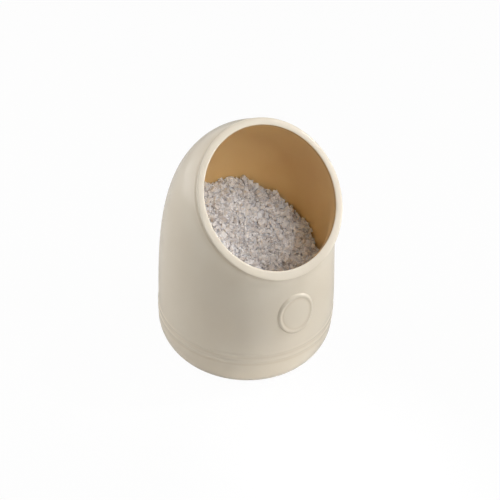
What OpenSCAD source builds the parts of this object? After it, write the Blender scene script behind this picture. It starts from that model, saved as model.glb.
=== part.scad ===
// Salt pig: a round glazed stoneware jar whose wall leans over into a hood with a wide tilted mouth.
// The origin is the centre of the foot on the table, +Z is up and the mouth faces -Y.
// Lengths are in millimetres and angles in degrees.

/* [Wall] */
// Outer radius of the upright wall
wall_r = 51; // [49:0.5:53]
// Thickness of the wall
wall_t = 4.6; // [3.6:0.1:5.6]
// Thickness of the floor
floor_t = 5; // [4:0.5:7]
// Radius of the rounding between the floor and the wall inside
inner_corner_r = 9; // [6:0.5:12]

/* [Foot] */
// Radius of the foot's outer edge on the table
foot_r = 41.4; // [39:0.2:43]
// Width of the bare ring that the jar stands on
foot_w = 5.4; // [4:0.2:8]
// Height of the bare ring
foot_h = 1.5; // [1:0.1:2.5]
// How far the bare ring widens between the table and the glazed wall
foot_flare = 1.2; // [0.4:0.1:1.6]
// Height at which the sweep of the foot meets the upright wall
sweep_h = 16; // [13:0.5:18]
// Roundness of the sweep, where 2 is a quarter of an ellipse
sweep_power = 1.65; // [1.4:0.05:2.2]

/* [Raised rings] */
// Width of each raised ring
bead_w = 2.8; // [2:0.1:3.4]
// How far each ring stands out from the wall
bead_out = 0.5; // [0.3:0.05:0.9]
// Height of the lower ring's middle above the foot's sweep
bead_rise = 5.7; // [4:0.1:8]
// Distance between the middles of the two rings
bead_pitch = 4.8; // [4:0.1:7]
// Upright wall left above the upper ring
bead_margin = 0.6; // [0.3:0.1:2]

/* [Mouth] */
// Angle of the mouth's axis above the horizontal
mouth_tilt = 42; // [38:0.5:46]
// Height of the mouth's centre
mouth_z = 107; // [104:0.5:110]
// Distance from the jar's axis forward to the mouth's centre
mouth_forward = 18.2; // [16:0.2:20]
// Radius of the middle line of the rolled lip
lip_r = 41.3; // [40:0.1:42.6]
// Thickness of the rolled lip
lip_t = 3.7; // [3:0.1:4.4]
// Depth of the neck behind the middle of the lip
neck_depth = 2.5; // [2:0.1:3.5]
// How far the neck is drawn in behind the lip
neck_crease = 0.5; // [0:0.1:0.9]

/* [Hood] */
// Upright run of the front wall before it leans back
front_rise = 7.5; // [5:0.5:12]
// Length over which the front wall turns out to the lip
front_turn = 5.4; // [3:0.2:8]
// Angle above the horizontal at which the front wall meets the lip
front_exit = 47; // [42:1:55]
// Upright run of the back wall before it leans forward
back_rise = 41; // [36:1:46]
// Length over which the back wall arches over to the lip
back_turn = 39; // [34:1:44]
// Angle above the horizontal at which the back wall meets the lip
back_exit = 20.5; // [16:0.5:26]
// Half width that the shoulders swell towards below the neck
shoulder_r = 50; // [47:0.5:53]

/* [Inner glaze] */
// Thickness of the glaze coat inside
glaze_t = 0.4; // [0.3:0.05:0.6]
// Distance from the middle of the lip down to the edge of the inner glaze
glaze_drop = 0.5; // [0.2:0.1:1.5]

/* [Medallion] */
// Radius of the round plaque on the front
medallion_r = 11.4; // [9:0.2:13]
// Height of the plaque's middle above the table
medallion_z = 48; // [44:0.5:52]
// Width of the plaque's raised border
medallion_border_w = 2.2; // [1.4:0.1:3]
// Height of the border above the wall
medallion_border_h = 1.1; // [0.8:0.1:1.6]
// Height of the plain field above the wall
medallion_field_h = 0.6; // [0.3:0.1:0.7]
// Gap between the plaque's back and the wall
medallion_seat = 0.1; // [0.05:0.01:0.2]

/* [Salt] */
// Height of the heap at the back wall
crest_z = 82; // [79:1:85]
// Slope of the heap below the horizontal, towards the front
heap_slope = 33; // [28:1:35]
// Distance behind the jar's axis at which the slope starts
crest_y = 38; // [34:1:40]
// Distance in front of the jar's axis at which the slope ends
toe_y = 28; // [22:1:30]
// Distance over which the slope eases in and out
heap_ease = 4; // [2:0.5:6]
// Height of the soft lumps on the heap
lump_h = 0.6; // [0:0.1:1]
// Distance from one lump to the next
lump_pitch = 17; // [12:1:24]
// Clearance between the salt and the glaze
salt_clear = 0.3; // [0.2:0.05:0.5]
// Length of the largest loose crystals
crystal_l = 3.2; // [2:0.1:3.6]
// Gap under a loose crystal
crystal_seat = 0.3; // [0.2:0.05:0.5]
// Number of loose crystals
crystal_count = 110; // [40:10:140]

/* [Hidden] */

// Colours as photographed
cream = [0.89, 0.85, 0.77];
ochre = [0.62, 0.47, 0.31];
bare_clay = [0.78, 0.66, 0.52];
salt_grey = [0.70, 0.67, 0.66];

// Counts of flats: round the jar, up the foot's sweep, up the hood outside and inside,
// in the inner corner, round the plaque, and up and across the salt
sides = 64;
sweep_steps = 6;
hood_steps = 15;
lining_steps = 10;
corner_steps = 4;
arc_steps = 8;
plaque_sides = 40;
salt_rise_steps = 3;
salt_top_steps = 12;
search_steps = 16;

// Heights and radii that follow
bead_low_z = sweep_h + bead_rise;
bead_high_z = bead_low_z + bead_pitch;
lean_z = bead_high_z + bead_w / 2 + bead_margin;
floor_z = foot_h + floor_t;
inner_r = wall_r - wall_t;
lip_tube_r = lip_t / 2;
mouth_inner_r = lip_r - lip_tube_r;
neck_r = lip_r + lip_tube_r;

// Directions in the jar's plane of symmetry, as [y, z]
mouth_out = [-cos(mouth_tilt), sin(mouth_tilt)];
mouth_up = [sin(mouth_tilt), cos(mouth_tilt)];
front_out = [-cos(front_exit), sin(front_exit)];
back_out = [-cos(back_exit), sin(back_exit)];

// Mouth and neck centres, and the neck's lowest and highest points, as [y, z]
mouth_centre = [-mouth_forward, mouth_z];
neck_centre = mouth_centre - neck_depth * mouth_out;
neck_front = neck_centre - neck_r * mouth_up;
neck_back = neck_centre + neck_r * mouth_up;

// Control points of the hood: its front line, its back line and its half width
front_line = [[-wall_r, lean_z], [-wall_r, lean_z + front_rise],
              neck_front - front_turn * front_out, neck_front];
back_line = [[wall_r, lean_z], [wall_r, lean_z + back_rise],
             neck_back - back_turn * back_out, neck_back];
half_width = [wall_r, wall_r, shoulder_r, neck_r];

// Point at share u of a cubic curve with four control points
function bezier(p, u) =
    pow(1 - u, 3) * p[0] + 3 * u * pow(1 - u, 2) * p[1] + 3 * u * u * (1 - u) * p[2] + pow(u, 3) * p[3];

// Point at angle a of an oval that spans from its front point to its back point, drawn in by inset.
// Angle 0 is at the front and 90 is at +X.
function oval_point(front, back, half_w, a, inset) =
    let (middle = (front + back) / 2, half = (back - front) / 2)
    let (kept = half * (1 - inset / norm(half)))
    [(half_w - inset) * sin(a), middle[0] - kept[0] * cos(a), middle[1] - kept[1] * cos(a)];

function oval(front, back, half_w, inset) =
    [for (i = [0:sides - 1]) oval_point(front, back, half_w, 360 * i / sides, inset)];

// Level circle of radius r at height z, and a circle parallel to the mouth at a depth behind it
function level_ring(r, z) = oval([-r, z], [r, z], r, 0);
function mouth_ring(r, depth) =
    let (centre = mouth_centre - depth * mouth_out)
    oval(centre - r * mouth_up, centre + r * mouth_up, r, 0);

// Point and whole section of the hood at share u of the way from the upright wall to the neck
function hood_point(u, a, inset) =
    oval_point(bezier(front_line, u), bezier(back_line, u), bezier(half_width, u), a, inset);
function hood_ring(u, inset) =
    oval(bezier(front_line, u), bezier(back_line, u), bezier(half_width, u), inset);

// Wall thickness at share u, which falls to the lip's own thickness at the neck
function hood_wall(u) = wall_t + (neck_r - mouth_inner_r - wall_t) * u;

// Outer radius of the foot's sweep at height z
function sweep_r(z) =
    foot_r + (wall_r - foot_r) * pow(1 - pow(1 - z / sweep_h, sweep_power), 1 / sweep_power);

// Outer skin from the bare ring up to the neck, and the inner skin from the floor up, drawn in by inset
outer_rings = concat(
    [for (i = [0:sweep_steps])
        let (z = foot_h + (sweep_h - foot_h) * pow(i / sweep_steps, 2))
        level_ring(sweep_r(z), z)],
    [for (i = [0:hood_steps]) hood_ring(i / hood_steps, 0)]);
function inner_rings(inset) = concat(
    [for (i = [0:corner_steps])
        let (q = 90 * i / corner_steps, r = inner_corner_r - inset)
        level_ring(inner_r - inner_corner_r + r * sin(q), floor_z + inner_corner_r - r * cos(q))],
    [for (i = [0:lining_steps]) let (u = i / lining_steps) hood_ring(u, hood_wall(u) + inset)]);

// Surface height of the salt: a slope from a level crest at the back to a level toe at the front, with lumps
function eased(s) = heap_ease * ln(1 + exp(s / heap_ease));
function lump(x, y) = lump_h * sin(360 * x / lump_pitch) * cos(360 * (y + x / 2) / lump_pitch);
function heap_z(x, y) = crest_z - tan(heap_slope) * (eased(crest_y - y) - eased(-toe_y - y)) + lump(x, y);

// Distance of the salt's side from the outer skin, and the share u at which the heap meets the lining at
// angle a, found by halving
function salt_inset_at(u) = hood_wall(u) + glaze_t + salt_clear;
function heap_edge(a, low = 0, high = 1, n = search_steps) =
    let (u = (low + high) / 2, p = hood_point(u, a, salt_inset_at(u)))
    n == 0 ? u : (p[2] < heap_z(p[0], p[1]) ? heap_edge(a, u, high, n - 1)
                                            : heap_edge(a, low, u, n - 1));

// Share u of the front wall at sideways place x and height z, found by halving
function wall_share(x, z, low = 0, high = 1, n = search_steps) =
    let (u = (low + high) / 2, a = asin(x / bezier(half_width, u)))
    n == 0 ? u : (hood_point(u, a, 0)[2] < z ? wall_share(x, z, u, high, n - 1)
                                             : wall_share(x, z, low, u, n - 1));

// Repeatable scatter between 0 and 1 for crystal i and property k
function scatter(i, k) = let (v = sin(i * 127.1 + k * 311.7) * 4375.85) v - floor(v);

function reversed(list) = [for (i = [len(list) - 1:-1:0]) list[i]];
function total(list, i = 0) = i == len(list) - 1 ? list[i] : list[i] + total(list, i + 1);
function middle_of(ring) = total(ring) / len(ring);

// Closed solid over a chain of rings with equal counts, each end closed to its middle.
// Each four-sided patch is split along its shorter diagonal, so that two skins that meet share their facets.
module ring_solid(rings) {
    n = len(rings[0]);
    last = len(rings) - 1;
    first_tip = n * len(rings);
    points = concat([for (ring = rings) each ring], [middle_of(rings[0]), middle_of(rings[last])]);
    sheet = [for (i = [0:last - 1], j = [0:n - 1])
        let (k = (j + 1) % n, p = i * n, q = p + n)
        let (rising = norm(points[p + j] - points[q + k]) < norm(points[p + k] - points[q + j]))
        each rising ? [[p + j, q + j, q + k], [p + j, q + k, p + k]]
                    : [[p + j, q + j, p + k], [q + j, q + k, p + k]]];
    first_cap = [for (j = [0:n - 1]) [first_tip, j, (j + 1) % n]];
    last_cap = [for (j = [0:n - 1]) [first_tip + 1, last * n + (j + 1) % n, last * n + j]];
    polyhedron(points, concat(sheet, first_cap, last_cap), convexity = 6);
}

// Fired jar: outer skin up to the neck, then the inner skin down to the floor
module hooded_body() {
    color(cream) ring_solid(concat(outer_rings, reversed(inner_rings(0))));
}

// Rolled lip, seated on the neck: a half-round rim with a soft crease behind it
module rolled_lip() {
    rim = [for (i = [0:arc_steps])
        let (q = 180 - 180 * i / arc_steps) [lip_r + lip_tube_r * cos(q), lip_tube_r * sin(q)]];
    crease = [for (i = [1:arc_steps])
        let (s = i / arc_steps) [neck_r - neck_crease * pow(sin(180 * s), 2), -neck_depth * s]];
    color(cream)
        translate([0, mouth_centre[0], mouth_centre[1]])
            rotate([90 - mouth_tilt, 0, 0])
                rotate_extrude($fn = 96)
                    polygon(concat([[mouth_inner_r, -neck_depth]], rim, crease));
}

// Two raised rings round the upright wall, each a low arch in section
module base_beads() {
    arch = [for (i = [0:arc_steps])
        let (q = 180 * i / arc_steps) [wall_r + bead_out * pow(sin(q), 2), -bead_w / 2 * cos(q)]];
    color(cream)
        for (z = [bead_low_z, bead_high_z])
            translate([0, 0, z])
                rotate_extrude($fn = 96)
                    polygon(arch);
}

// Ring of bare clay under the floor that the jar stands on
module foot_ring() {
    color(bare_clay)
        rotate_extrude($fn = 96)
            polygon([[foot_r - foot_w, 0], [foot_r, 0], [foot_r + foot_flare, foot_h],
                     [foot_r - foot_w - foot_flare, foot_h]]);
}

// Glaze coat on the floor and wall inside, ending just below the middle of the lip
module inner_glaze() {
    color(ochre) ring_solid(concat(
        inner_rings(0),
        [mouth_ring(mouth_inner_r, glaze_drop), mouth_ring(mouth_inner_r - glaze_t, glaze_drop)],
        reversed(inner_rings(glaze_t))));
}

// Point of the plaque at radius r and angle a, at a height h above the wall that it follows
function plaque_point(r, a, h) =
    let (x = r * cos(a), z = medallion_z + r * sin(a), u = wall_share(x, z))
    let (p = hood_point(u, asin(x / bezier(half_width, u)), 0), out = [p[0], p[1], 0] / norm([p[0], p[1]]))
    p + h * out;

// Plain round plaque with a raised border, curved to the front wall
module front_medallion() {
    field_shares = [0.4, 0.75];
    field_r = medallion_r - medallion_border_w;
    border_round = (medallion_border_h - medallion_field_h) / 2;
    profile = concat(
        [for (share = field_shares) [share * medallion_r, medallion_seat]],
        [[medallion_r, medallion_seat],
         [medallion_r, medallion_border_h - 2 * border_round],
         [medallion_r - border_round, medallion_border_h],
         [field_r + 2 * border_round, medallion_border_h],
         [field_r, medallion_field_h]],
        [for (share = reversed(field_shares)) [share * field_r, medallion_field_h]]);
    color(cream) ring_solid([for (p = profile)
        [for (i = [0:plaque_sides - 1]) plaque_point(p[0], 360 * i / plaque_sides, p[1])]]);
}

// Coarse salt heaped against the back wall, lying on the glazed floor
module salt_fill() {
    edge_u = [for (i = [0:sides - 1]) heap_edge(360 * i / sides)];
    inset = glaze_t + salt_clear;
    corner = inner_corner_r - inset;
    lower = [for (i = [0:corner_steps])
        let (q = 90 * i / corner_steps)
        level_ring(inner_r - inner_corner_r + corner * sin(q),
                   i == 0 ? floor_z + glaze_t : floor_z + inner_corner_r - corner * cos(q))];
    upper = [for (k = [0:salt_rise_steps])
        [for (i = [0:sides - 1])
            let (u = edge_u[i] * k / salt_rise_steps)
            hood_point(u, 360 * i / sides, salt_inset_at(u))]];
    rim = upper[salt_rise_steps];
    top = [for (k = [salt_top_steps - 1:-1:1])
        [for (p = rim)
            let (share = k / salt_top_steps)
            [p[0] * share, p[1] * share, heap_z(p[0] * share, p[1] * share)]]];
    color(salt_grey) ring_solid(concat(lower, upper, top));
}

// One loose crystal on the heap at place [x, y]: a squat block that lies flat on the slope
module crystal(x, y, length, spin) {
    block_shares = [1, 0.82, 0.64];
    probe = length / 2;
    run = (heap_z(x + probe, y) - heap_z(x - probe, y)) / (2 * probe);
    rise = (heap_z(x, y + probe) - heap_z(x, y - probe)) / (2 * probe);
    translate([x, y, heap_z(x, y)])
        rotate([0, atan(norm([run, rise])), atan2(-rise, -run)])
            rotate([0, 0, spin])
                translate([-length / 2, -length * block_shares[1] / 2, crystal_seat])
                    cube(length * block_shares);
}

// Loose crystals spread over the heap in a sunflower pattern
module salt_crystals() {
    golden_angle = 137.508;
    smallest_share = 0.6;
    field = inner_r - glaze_t - salt_clear - 2 * crystal_l;
    color(salt_grey)
        for (i = [0:crystal_count - 1]) {
            r = field * sqrt((i + scatter(i, 1)) / crystal_count);
            length = crystal_l * (smallest_share + (1 - smallest_share) * scatter(i, 2));
            crystal(r * sin(golden_angle * i), -r * cos(golden_angle * i), length, 360 * scatter(i, 3));
        }
}

hooded_body();
rolled_lip();
base_beads();
foot_ring();
inner_glaze();
front_medallion();
salt_fill();
salt_crystals();
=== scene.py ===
"""Looks of a salt pig: a round glazed stoneware jar with a tilted mouth and a heap of coarse salt.

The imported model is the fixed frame. Every surface here is worked out with numpy from the same
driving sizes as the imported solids, in metres, with +Z up and the mouth facing -Y. Angles round
the jar are 0 at the front and a quarter turn at +X.
"""

import logging
import math
from collections.abc import Callable
from dataclasses import dataclass
from enum import Enum

import bmesh
import bpy
import numpy as np
from mathutils import Matrix, Vector

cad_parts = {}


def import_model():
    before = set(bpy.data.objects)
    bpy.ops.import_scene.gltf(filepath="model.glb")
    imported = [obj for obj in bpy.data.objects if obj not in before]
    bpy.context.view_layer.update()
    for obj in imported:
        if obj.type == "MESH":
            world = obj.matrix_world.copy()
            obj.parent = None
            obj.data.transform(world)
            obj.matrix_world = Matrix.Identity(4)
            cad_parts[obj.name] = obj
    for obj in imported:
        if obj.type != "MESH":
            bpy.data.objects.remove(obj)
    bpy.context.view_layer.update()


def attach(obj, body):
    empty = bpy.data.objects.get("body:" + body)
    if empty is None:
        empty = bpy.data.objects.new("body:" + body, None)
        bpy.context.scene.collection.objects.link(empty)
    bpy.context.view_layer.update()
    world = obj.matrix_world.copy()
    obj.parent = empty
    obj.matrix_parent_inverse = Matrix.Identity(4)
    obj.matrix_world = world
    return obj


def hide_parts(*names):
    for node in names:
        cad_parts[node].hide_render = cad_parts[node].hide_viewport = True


LOG = logging.getLogger("salt_jar")
MM = 0.001
TURN = 2 * math.pi
BODY = "root"
SEED = 20
HALVINGS = 26

Array = np.ndarray
Colour = tuple[float, float, float, float]
Socket = bpy.types.NodeSocket
Material = bpy.types.Material
Piece = bpy.types.Object


class Slot(Enum):
    """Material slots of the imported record."""

    CREAM = "cream_glaze"
    OCHRE = "ochre_glaze"
    CLAY = "bare_stoneware"
    SALT = "coarse_salt"


class Mask(Enum):
    """Vertex attributes that carry where a finish changes on a piece."""

    POOL_AND_SHADE = "glaze_pool"
    WARM = "warm_edge"
    TINT = "grain_tint"


class Shading(Enum):
    """How a piece's faces catch the light."""

    SMOOTH = True
    FACETED = False


def tone(*steps: int) -> Colour:
    """Turns a colour written in 0 to 255 display steps into Blender's linear values.

    Args:
        steps: Red, green and blue.

    Returns:
        Linear red, green, blue and an alpha of one.
    """
    display = np.array(steps) / 255.0
    linear = np.where(display <= 0.04045, display / 12.92, ((display + 0.055) / 1.055) ** 2.4)
    return (float(linear[0]), float(linear[1]), float(linear[2]), 1.0)


def smooth_step(low: float, high: float, value: Array) -> Array:
    """Rises from 0 at low to 1 at high as 3s^2 - 2s^3, where s is the share of the way.

    Args:
        low: Value at which the rise starts.
        high: Value at which it ends.
        value: Values to look up.

    Returns:
        The share risen, as an array of the same shape.
    """
    share = np.clip((value - low) / (high - low), 0.0, 1.0)
    return share * share * (3.0 - 2.0 * share)


def bell(off: Array, width: float) -> Array:
    """Falls from 1 on both sides of nought as exp(-(off / width)^2)."""
    return np.exp(-((off / width) ** 2))


def ridge(off: Array, half: float) -> Array:
    """Rounded ridge: cos^2 of off / half quarter turns, and nought from half a width out."""
    return np.cos(np.clip(off / half, -1, 1) * math.pi / 2) ** 2


def front_weight(angle: Array) -> Array:
    """Falls from 1 at the front to 0 at the back as ((1 + cos a) / 2)^2."""
    return ((1 + np.cos(angle)) / 2) ** 2


def angles_round(columns: int) -> Array:
    """Even angles once round, one for each column."""
    return np.arange(columns) * TURN / columns


def heading(azimuth: float, elevation: float) -> Vector:
    """Direction away from the jar at an angle round it and an angle above the table."""
    level = math.cos(elevation)
    return Vector((math.sin(azimuth) * level, -math.cos(azimuth) * level, math.sin(elevation)))


def by_halving(like: Array, falls_short: Callable[[Array], Array]) -> Array:
    """Finds the shares from 0 to 1 at which a test turns from true to false, by halving.

    Args:
        like: Array of the shape that the shares have.
        falls_short: Says for each share whether it is still too small.

    Returns:
        The shares.
    """
    low, high = np.zeros_like(like), np.ones_like(like)
    for _ in range(HALVINGS):
        share = (low + high) / 2
        short = falls_short(share)
        low, high = np.where(short, share, low), np.where(short, high, share)
    return share


def ripple(across: Array, along: Array, pitch: float, waves: int, seed: int) -> Array:
    """Soft random relief: the mean of plane sine waves of about one pitch, in random directions.

    Args:
        across: First coordinate of each point.
        along: Second coordinate of each point.
        pitch: Distance from one crest to the next.
        waves: Number of plane waves that are added.
        seed: Seed of the random directions and phases.

    Returns:
        Heights of about -1 to 1, in the shape of the coordinates.
    """
    shortest, longest = 0.75, 1.35
    random = np.random.default_rng(seed)
    direction = random.uniform(0.0, TURN, waves)
    phase = random.uniform(0.0, TURN, waves)
    turns = TURN / (pitch * random.uniform(shortest, longest, waves))
    travel = across[..., None] * np.cos(direction) + along[..., None] * np.sin(direction)
    return np.sin(travel * turns + phase).sum(axis=-1) / math.sqrt(waves)


def add_piece(
    name: str,
    points: Array,
    faces: list[list[int]],
    shading: Shading,
    masks: dict[Mask, Array] | None = None,
) -> Piece:
    """Puts vertices and faces into a new object that sits untransformed at the origin.

    Args:
        name: Name of the piece.
        points: Vertex positions, one row each.
        faces: Vertex numbers of each face, counter-clockwise from outside.
        shading: Whether faces are shaded smooth or flat.
        masks: Value per vertex for each attribute that the finish reads.

    Returns:
        The new object, linked to the scene.
    """
    mesh = bpy.data.meshes.new(name)
    mesh.from_pydata(points.tolist(), [], faces)
    mesh.polygons.foreach_set("use_smooth", np.full(len(mesh.polygons), shading.value))
    for mask, values in (masks or {}).items():
        attribute = mesh.attributes.new(mask.value, "FLOAT", "POINT")
        attribute.data.foreach_set("value", values.astype(np.float32))
    mesh.update()
    piece = bpy.data.objects.new(name, mesh)
    bpy.context.scene.collection.objects.link(piece)
    return piece


def add_skin(name: str, grid: Array, masks: dict[Mask, Array] | None = None) -> Piece:
    """Makes a closed smooth piece from rows of points round it.

    Four-sided faces join each row to the next, and three-sided faces close the first and the
    last row to a pole at its own middle.

    Args:
        name: Name of the piece.
        grid: Points as rows by columns by three.
        masks: Value per row and column for each attribute.

    Returns:
        The new object.
    """
    rows, columns = grid.shape[:2]
    poles = np.stack([grid[0].mean(axis=0), grid[-1].mean(axis=0)])
    points = np.concatenate([grid.reshape(-1, 3), poles])
    spread = {
        mask: np.concatenate([value.reshape(-1), [value[0].mean(), value[-1].mean()]])
        for mask, value in (masks or {}).items()
    }
    here = np.arange(columns)
    then = np.roll(here, -1)
    below = np.arange(rows - 1)[:, None] * columns
    above = below + columns
    quads = np.stack([below + here, below + then, above + then, above + here], axis=-1)
    last_row = (rows - 1) * columns
    first_pole, last_pole = np.full(columns, rows * columns), np.full(columns, rows * columns + 1)
    opening = np.stack([first_pole, then, here], axis=-1)
    closing = np.stack([last_pole, last_row + here, last_row + then], axis=-1)
    faces = quads.reshape(-1, 4).tolist() + opening.tolist() + closing.tolist()
    return add_piece(name, points, faces, Shading.SMOOTH, spread)


def dress(piece: Piece, material: Material, slot: Slot, *replaced: str) -> None:
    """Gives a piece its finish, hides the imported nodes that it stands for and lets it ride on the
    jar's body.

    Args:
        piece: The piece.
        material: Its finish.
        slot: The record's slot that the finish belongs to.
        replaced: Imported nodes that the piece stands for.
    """
    piece.data.materials.append(material)
    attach(piece, BODY)
    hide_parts(*replaced)
    LOG.info("%s: %d faces, %s", piece.name, len(piece.data.polygons), slot.value)


class NodeBoard:
    """The nodes of a material or a world, added and linked in short calls."""

    def __init__(self, owner: Material | bpy.types.World) -> None:
        """Clears the owner's nodes.

        Args:
            owner: The material or world.
        """
        owner.use_nodes = True
        self.tree = owner.node_tree
        self.tree.nodes.clear()

    def feed(self, target: Socket, value: Socket | Colour | float) -> None:
        """Links a socket to an input, or sets the input to a plain value.

        Args:
            target: The input.
            value: The socket or value.
        """
        if isinstance(value, Socket):
            self.tree.links.new(value, target)
        else:
            target.default_value = value

    def add(self, kind: str, **inputs: Socket | Colour | float) -> bpy.types.Node:
        """Adds a node and feeds the inputs that are named, with a _ for each blank.

        Args:
            kind: Blender's name of the node's type.
            inputs: Value or socket for each input.

        Returns:
            The node.
        """
        node = self.tree.nodes.new(kind)
        for name, value in inputs.items():
            self.feed(node.inputs[name.replace("_", " ")], value)
        return node

    def reckon(self, operation: str, first: Socket, second: Socket | float) -> Socket:
        """Works out one value from two.

        Args:
            operation: Blender's name of the operation.
            first: First value.
            second: Second value.

        Returns:
            The result's socket.
        """
        node = self.add("ShaderNodeMath")
        node.operation = operation
        self.feed(node.inputs[0], first)
        self.feed(node.inputs[1], second)
        return node.outputs["Value"]


class FinishBoard(NodeBoard):
    """The nodes of one finish, round a Principled shader."""

    NOISE_LOW, NOISE_HIGH = 0.3, 0.7
    MIX_FACTOR, MIX_FIRST, MIX_SECOND, MIX_RESULT = 0, 6, 7, 2

    def __init__(self, name: str, ior: float = 1.5) -> None:
        """Starts a material with its shader, output and the piece's own coordinates.

        Args:
            name: Name of the material.
            ior: Index of refraction.
        """
        self.material = bpy.data.materials.new(name)
        super().__init__(self.material)
        self.shader = self.add("ShaderNodeBsdfPrincipled", IOR=ior)
        self.add("ShaderNodeOutputMaterial", Surface=self.shader.outputs["BSDF"])
        self.place = self.add("ShaderNodeTexCoord").outputs["Object"]

    def noise(self, pitch: float, detail: float, roughness: float = 0.5) -> Socket:
        """Adds soft random spots in the piece's own coordinates.

        Args:
            pitch: Size of a spot in metres.
            detail: Octaves of finer spots.
            roughness: Weight of the finer spots.

        Returns:
            The factor's socket.
        """
        node = self.add("ShaderNodeTexNoise", Vector=self.place, Scale=1 / pitch, Detail=detail)
        node.inputs["Roughness"].default_value = roughness
        return node.outputs["Fac"]

    def attribute(self, mask: Mask) -> Socket:
        """Reads one of the piece's own vertex attributes.

        Args:
            mask: The attribute.

        Returns:
            The value's socket.
        """
        node = self.add("ShaderNodeAttribute")
        node.attribute_name = mask.value
        return node.outputs["Fac"]

    def spread(
        self, source: Socket, low: float, high: float, to_low: float, to_high: float
    ) -> Socket:
        """Maps a value from one range to another and holds it inside the second.

        Args:
            source: The value's socket.
            low: Value that gives to_low.
            high: Value that gives to_high.
            to_low: Lowest result.
            to_high: Highest result.

        Returns:
            The result's socket.
        """
        node = self.add("ShaderNodeMapRange", Value=source, To_Min=to_low, To_Max=to_high)
        node.inputs["From Min"].default_value = low
        node.inputs["From Max"].default_value = high
        return node.outputs["Result"]

    def cloud(
        self, pitch: float, detail: float, to_low: float = 0.0, to_high: float = 1.0
    ) -> Socket:
        """Soft random spots that fill a range of values."""
        spots = self.noise(pitch, detail)
        return self.spread(spots, self.NOISE_LOW, self.NOISE_HIGH, to_low, to_high)

    def blend(self, factor: Socket, first: Socket | Colour, second: Socket | Colour) -> Socket:
        """Mixes two colours.

        Args:
            factor: Share of the second colour.
            first: Colour, or the socket that gives it.
            second: Colour, or the socket that gives it.

        Returns:
            The mixed colour's socket.
        """
        node = self.add("ShaderNodeMix")
        node.data_type = "RGBA"
        self.feed(node.inputs[self.MIX_FACTOR], factor)
        self.feed(node.inputs[self.MIX_FIRST], first)
        self.feed(node.inputs[self.MIX_SECOND], second)
        return node.outputs[self.MIX_RESULT]

    def finish(
        self, colour: Socket, roughness: Socket, height: Socket, depth: float, strength: float = 1.0
    ) -> Material:
        """Gives the shader its colour, roughness and relief.

        Args:
            colour: The colour's socket.
            roughness: The roughness's socket.
            height: The relief's height, about 0 to 1.
            depth: Height of the relief in metres.
            strength: How much of it the light shows.

        Returns:
            The material.
        """
        relief = self.add("ShaderNodeBump", Height=height, Distance=depth, Strength=strength)
        self.feed(self.shader.inputs["Base Color"], colour)
        self.feed(self.shader.inputs["Roughness"], roughness)
        self.feed(self.shader.inputs["Normal"], relief.outputs["Normal"])
        return self.material


@dataclass(frozen=True)
class CreamGlaze:
    """Glossy cream glaze with cloudy tone, faint orange peel, pools in hollows and painted shade
    under lip and rings.
    """

    cream: Colour = tone(231, 219, 199)
    milky: Colour = tone(235, 225, 207)
    pool_and_shade_tone: Colour = tone(207, 190, 163)
    toasted: Colour = tone(230, 194, 143)
    pool_and_shade_share: float = 0.3
    cloud_pitch: float = 34 * MM
    peel_pitch: float = 4.2 * MM
    peel_depth: float = 0.02 * MM
    gloss_low: float = 0.16
    gloss_high: float = 0.24

    def build(self) -> Material:
        """Lays out the nodes of the glaze.

        Returns:
            The material.
        """
        board = FinishBoard("cream_glaze")
        colour = board.blend(board.cloud(self.cloud_pitch, 2.0), self.cream, self.milky)
        # Darker where glaze pools in hollows; under the lip and below the raised rings this is also
        # painted shade.
        pool_and_shade = board.spread(board.attribute(Mask.POOL_AND_SHADE), 0.0, 1.0, 0.0, self.pool_and_shade_share)
        colour = board.blend(pool_and_shade, colour, self.pool_and_shade_tone)
        colour = board.blend(board.attribute(Mask.WARM), colour, self.toasted)
        gloss = board.cloud(self.cloud_pitch / 3, 3.0, self.gloss_low, self.gloss_high)
        return board.finish(colour, gloss, board.noise(self.peel_pitch, 1.5), self.peel_depth)


@dataclass(frozen=True)
class OchreGlaze:
    """Satin ochre glaze with soft clouds and a fine relief."""

    ochre: Colour = tone(242, 206, 146)
    honey: Colour = tone(246, 213, 155)
    cloud_pitch: float = 22 * MM
    grain_pitch: float = 1.2 * MM
    grain_depth: float = 0.012 * MM
    gloss_low: float = 0.3
    gloss_high: float = 0.42

    def build(self) -> Material:
        """Lays out the nodes of the glaze.

        Returns:
            The material.
        """
        board = FinishBoard("ochre_glaze")
        colour = board.blend(board.cloud(self.cloud_pitch, 3.0), self.ochre, self.honey)
        gloss = board.cloud(self.cloud_pitch, 2.0, self.gloss_low, self.gloss_high)
        return board.finish(colour, gloss, board.noise(self.grain_pitch, 2.0), self.grain_depth)


@dataclass(frozen=True)
class BareStoneware:
    """Dry wiped clay with a sandy grain and darker flecks where the grain is strongest."""

    clay: Colour = tone(199, 172, 138)
    sandy: Colour = tone(214, 191, 160)
    fleck: Colour = tone(150, 116, 84)
    fleck_from: float = 0.64
    fleck_to: float = 0.72
    fleck_share: float = 0.6
    cloud_pitch: float = 9 * MM
    grain_pitch: float = 0.5 * MM
    grain_depth: float = 0.06 * MM
    grain_weight: float = 0.7
    grain_strength: float = 0.8
    rough_low: float = 0.75
    rough_high: float = 0.92

    def build(self) -> Material:
        """Lays out the nodes of the clay.

        Returns:
            The material.
        """
        board = FinishBoard("bare_stoneware")
        colour = board.blend(board.cloud(self.cloud_pitch, 3.0), self.clay, self.sandy)
        grain = board.noise(self.grain_pitch, 4.0, self.grain_weight)
        flecks = board.spread(grain, self.fleck_from, self.fleck_to, 0.0, self.fleck_share)
        colour = board.blend(flecks, colour, self.fleck)
        rough = board.spread(
            grain, board.NOISE_LOW, board.NOISE_HIGH, self.rough_low, self.rough_high
        )
        return board.finish(colour, rough, grain, self.grain_depth, self.grain_strength)


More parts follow.
